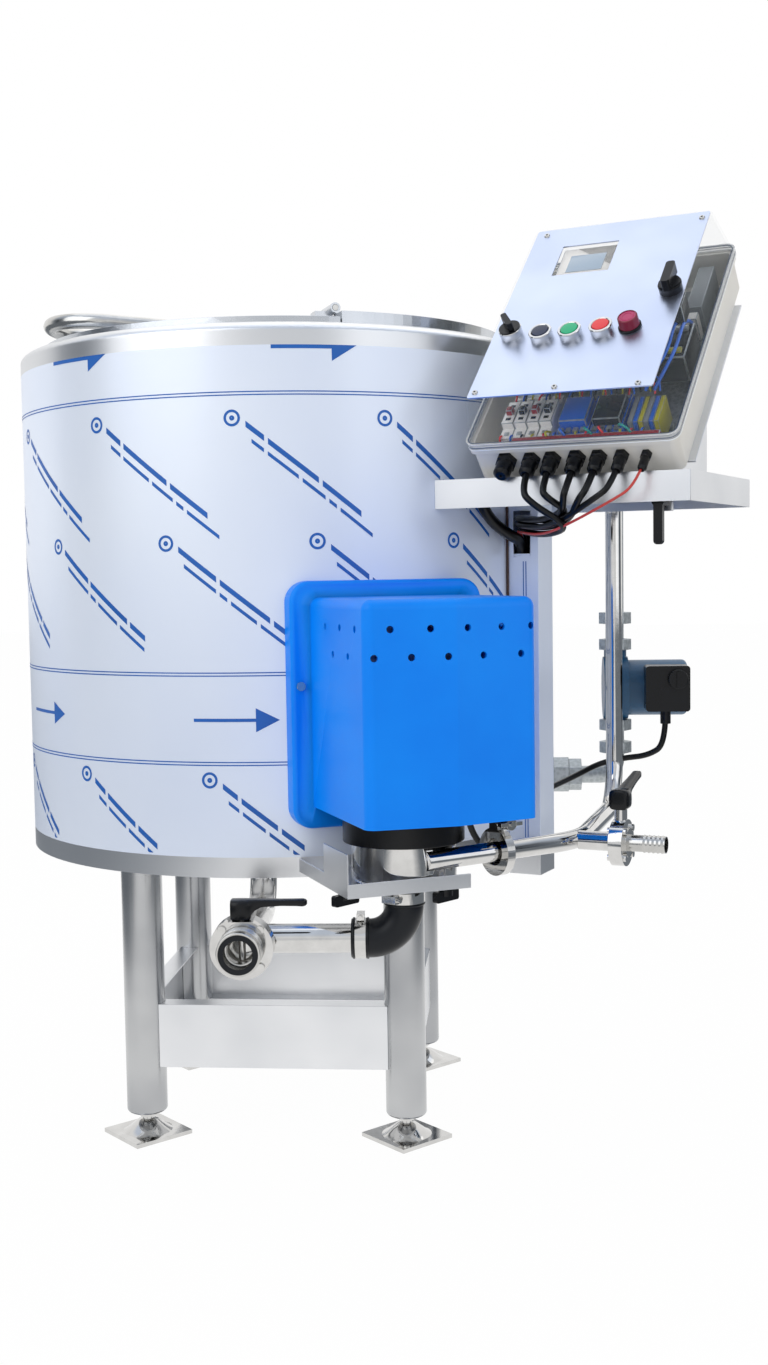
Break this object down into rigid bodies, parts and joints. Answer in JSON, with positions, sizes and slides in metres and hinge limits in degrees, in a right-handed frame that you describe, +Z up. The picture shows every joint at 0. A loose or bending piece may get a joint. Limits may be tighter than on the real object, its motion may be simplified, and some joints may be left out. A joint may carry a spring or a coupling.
{
  "type": "vat pasteurizer",
  "caption": "Round jacketed milk vat on legs with a split lid, a hooded pump, butterfly valves, a heating circuit and a tilted control console.",
  "frame": {"origin": "on the axis of the vat, at the level of the floor", "axes": "+Z up, -Y towards the drain valve and the user, +X towards the pump, console and heating circuit"},
  "size_m": [1.0897, 0.9822, 1.3238],
  "materials": {
    "film": "brushed steel under a pale protective film",
    "brushed_steel": "satin",
    "polished_steel": "polished",
    "mineral_wool": "matt wool",
    "heater_sheath": "satin",
    "rubber": "satin",
    "seal": "matt",
    "black_plastic": "satin",
    "motor_paint": "satin",
    "blue_plastic": "satin",
    "case_plastic": "satin",
    "clear_plastic": "clear",
    "face_steel": "satin",
    "gear_plastic": "satin",
    "green_plastic": "gloss",
    "red_plastic": "gloss",
    "dark_blue_plastic": "gloss",
    "lamp_red": "gloss",
    "cable_black": "satin",
    "circulator_paint": "satin",
    "rotor_steel": "satin",
    "galvanised": "dull zinc"
  },
  "bodies": {
    "machine": {"outer_wall": "film", "inner_vessel": "brushed_steel", "jacket_shell": "brushed_steel", "base_pan": "brushed_steel", "legs": "brushed_steel", "stretchers": "brushed_steel", "lid_fixed_half": "brushed_steel", "pump_tray": "brushed_steel", "service_column": "brushed_steel", "console_shelf": "brushed_steel", "console_bracket": "brushed_steel", "levelling_feet": "polished_steel", "lid_hinge_pins": "polished_steel", "drain_pipe": "polished_steel", "pipe_clamps": "polished_steel", "drain_valve_body": "polished_steel", "drain_nipple": "polished_steel", "pump_volute": "polished_steel", "cover_screws": "polished_steel", "discharge_pipe": "polished_steel", "side_valve_body": "polished_steel", "hose_barb": "polished_steel", "console_bezels": "polished_steel", "insulation": "mineral_wool", "jacket_heaters": "heater_sheath", "suction_elbow": "rubber", "valve_seats": "seal", "cable_glands": "black_plastic", "circulator_terminal_box": "black_plastic", "pump_lantern": "black_plastic", "pump_motor": "motor_paint", "pump_hood": "blue_plastic", "enclosure_base": "case_plastic", "enclosure_lid": "clear_plastic", "face_plate": "face_steel", "control_gear": "gear_plastic", "buzzer_lamp": "lamp_red", "control_cables": "cable_black", "circulator_body": "circulator_paint", "circulator_motor": "circulator_paint", "jacket_pipework": "galvanised"},
    "opening_lid": {"lid_opening_half": "brushed_steel", "lid_bow": "polished_steel"},
    "drain_valve_rotor": {"drain_valve_disc": "polished_steel", "drain_valve_lever": "black_plastic"},
    "side_valve_rotor": {"side_valve_disc": "polished_steel", "side_valve_lever": "black_plastic"},
    "pump_rotor": {"pump_shaft": "polished_steel", "pump_impeller": "polished_steel"},
    "circulator_wheel": {"circulator_rotor": "rotor_steel"},
    "left_tray_knob": {"wing_knob_left": "black_plastic"},
    "right_tray_knob": {"wing_knob_right": "black_plastic"},
    "clamp_nut": {"clamp_wing_nut": "polished_steel"},
    "mast_lever": {"clamping_lever": "black_plastic"},
    "selector": {"selector_knob": "black_plastic"},
    "main_switch": {"main_switch_knob": "black_plastic"},
    "start_key": {"start_button": "green_plastic"},
    "stop_key": {"stop_button": "red_plastic"},
    "reset_key": {"reset_button": "dark_blue_plastic"},
    "speed_knob": {"circulator_knob": "black_plastic"}
  },
  "joints": [
    {"name": "lid_hinge", "type": "hinge", "parent": "machine", "child": "opening_lid", "pos_m": [0, 0, 1.1958], "axis": [-0.3811, 0.9245, 0], "range_deg": [0, 95]},
    {"name": "drain_valve_turn", "type": "hinge", "parent": "machine", "child": "drain_valve_rotor", "pos_m": [0.01387, -0.49771, 0.366], "axis": [0, 0, -1], "range_deg": [0, 90]},
    {"name": "side_valve_turn", "type": "hinge", "parent": "machine", "child": "side_valve_rotor", "pos_m": [0.49944, -0.3694, 0.477], "axis": [0, 0, -1], "range_deg": [0, 90]},
    {"name": "pump_spin", "type": "hinge", "parent": "machine", "child": "pump_rotor", "pos_m": [0.21743, -0.4458, 0.47], "axis": [0, 0, 1], "continuous": true},
    {"name": "circulator_spin", "type": "hinge", "parent": "machine", "child": "circulator_wheel", "pos_m": [0.519, 0.045, 0.65], "axis": [1, 0, 0], "continuous": true},
    {"name": "left_knob_turn", "type": "hinge", "parent": "machine", "child": "left_tray_knob", "pos_m": [0.14588, -0.49071, 0.43], "axis": [0, 0, 1], "continuous": true},
    {"name": "right_knob_turn", "type": "hinge", "parent": "machine", "child": "right_tray_knob", "pos_m": [0.2718, -0.46602, 0.43], "axis": [0, 0, 1], "continuous": true},
    {"name": "clamp_nut_turn", "type": "hinge", "parent": "machine", "child": "clamp_nut", "pos_m": [0.33729, -0.43474, 0.516], "axis": [0.6157, -0.788, 0], "continuous": true},
    {"name": "mast_lever_turn", "type": "hinge", "parent": "machine", "child": "mast_lever", "pos_m": [0.55051, -0.39039, 0.925], "axis": [-0.3827, -0.9239, 0], "range_deg": [-75, 75]},
    {"name": "selector_turn", "type": "hinge", "parent": "machine", "child": "selector", "pos_m": [0.36176, -0.30516, 1.15201], "axis": [0.2706, 0.6533, -0.7071], "range_deg": [0, 60]},
    {"name": "main_switch_turn", "type": "hinge", "parent": "machine", "child": "main_switch", "pos_m": [0.56901, -0.34049, 1.19868], "axis": [0.2706, 0.6533, -0.7071], "range_deg": [0, 90]},
    {"name": "start_press", "type": "slide", "parent": "machine", "child": "start_key", "axis": [0.2706, 0.6533, -0.7071], "range_m": [0, 0.003], "stiffness_N_per_m": 400, "springref_m": -0.002},
    {"name": "stop_press", "type": "slide", "parent": "machine", "child": "stop_key", "axis": [0.2706, 0.6533, -0.7071], "range_m": [0, 0.003], "stiffness_N_per_m": 400, "springref_m": -0.002},
    {"name": "reset_press", "type": "slide", "parent": "machine", "child": "reset_key", "axis": [0.2706, 0.6533, -0.7071], "range_m": [0, 0.003], "stiffness_N_per_m": 400, "springref_m": -0.002},
    {"name": "speed_knob_turn", "type": "hinge", "parent": "machine", "child": "speed_knob", "pos_m": [0.609, -0.03, 0.668], "axis": [0, -1, 0], "range_deg": [0, 90]}
  ]
}
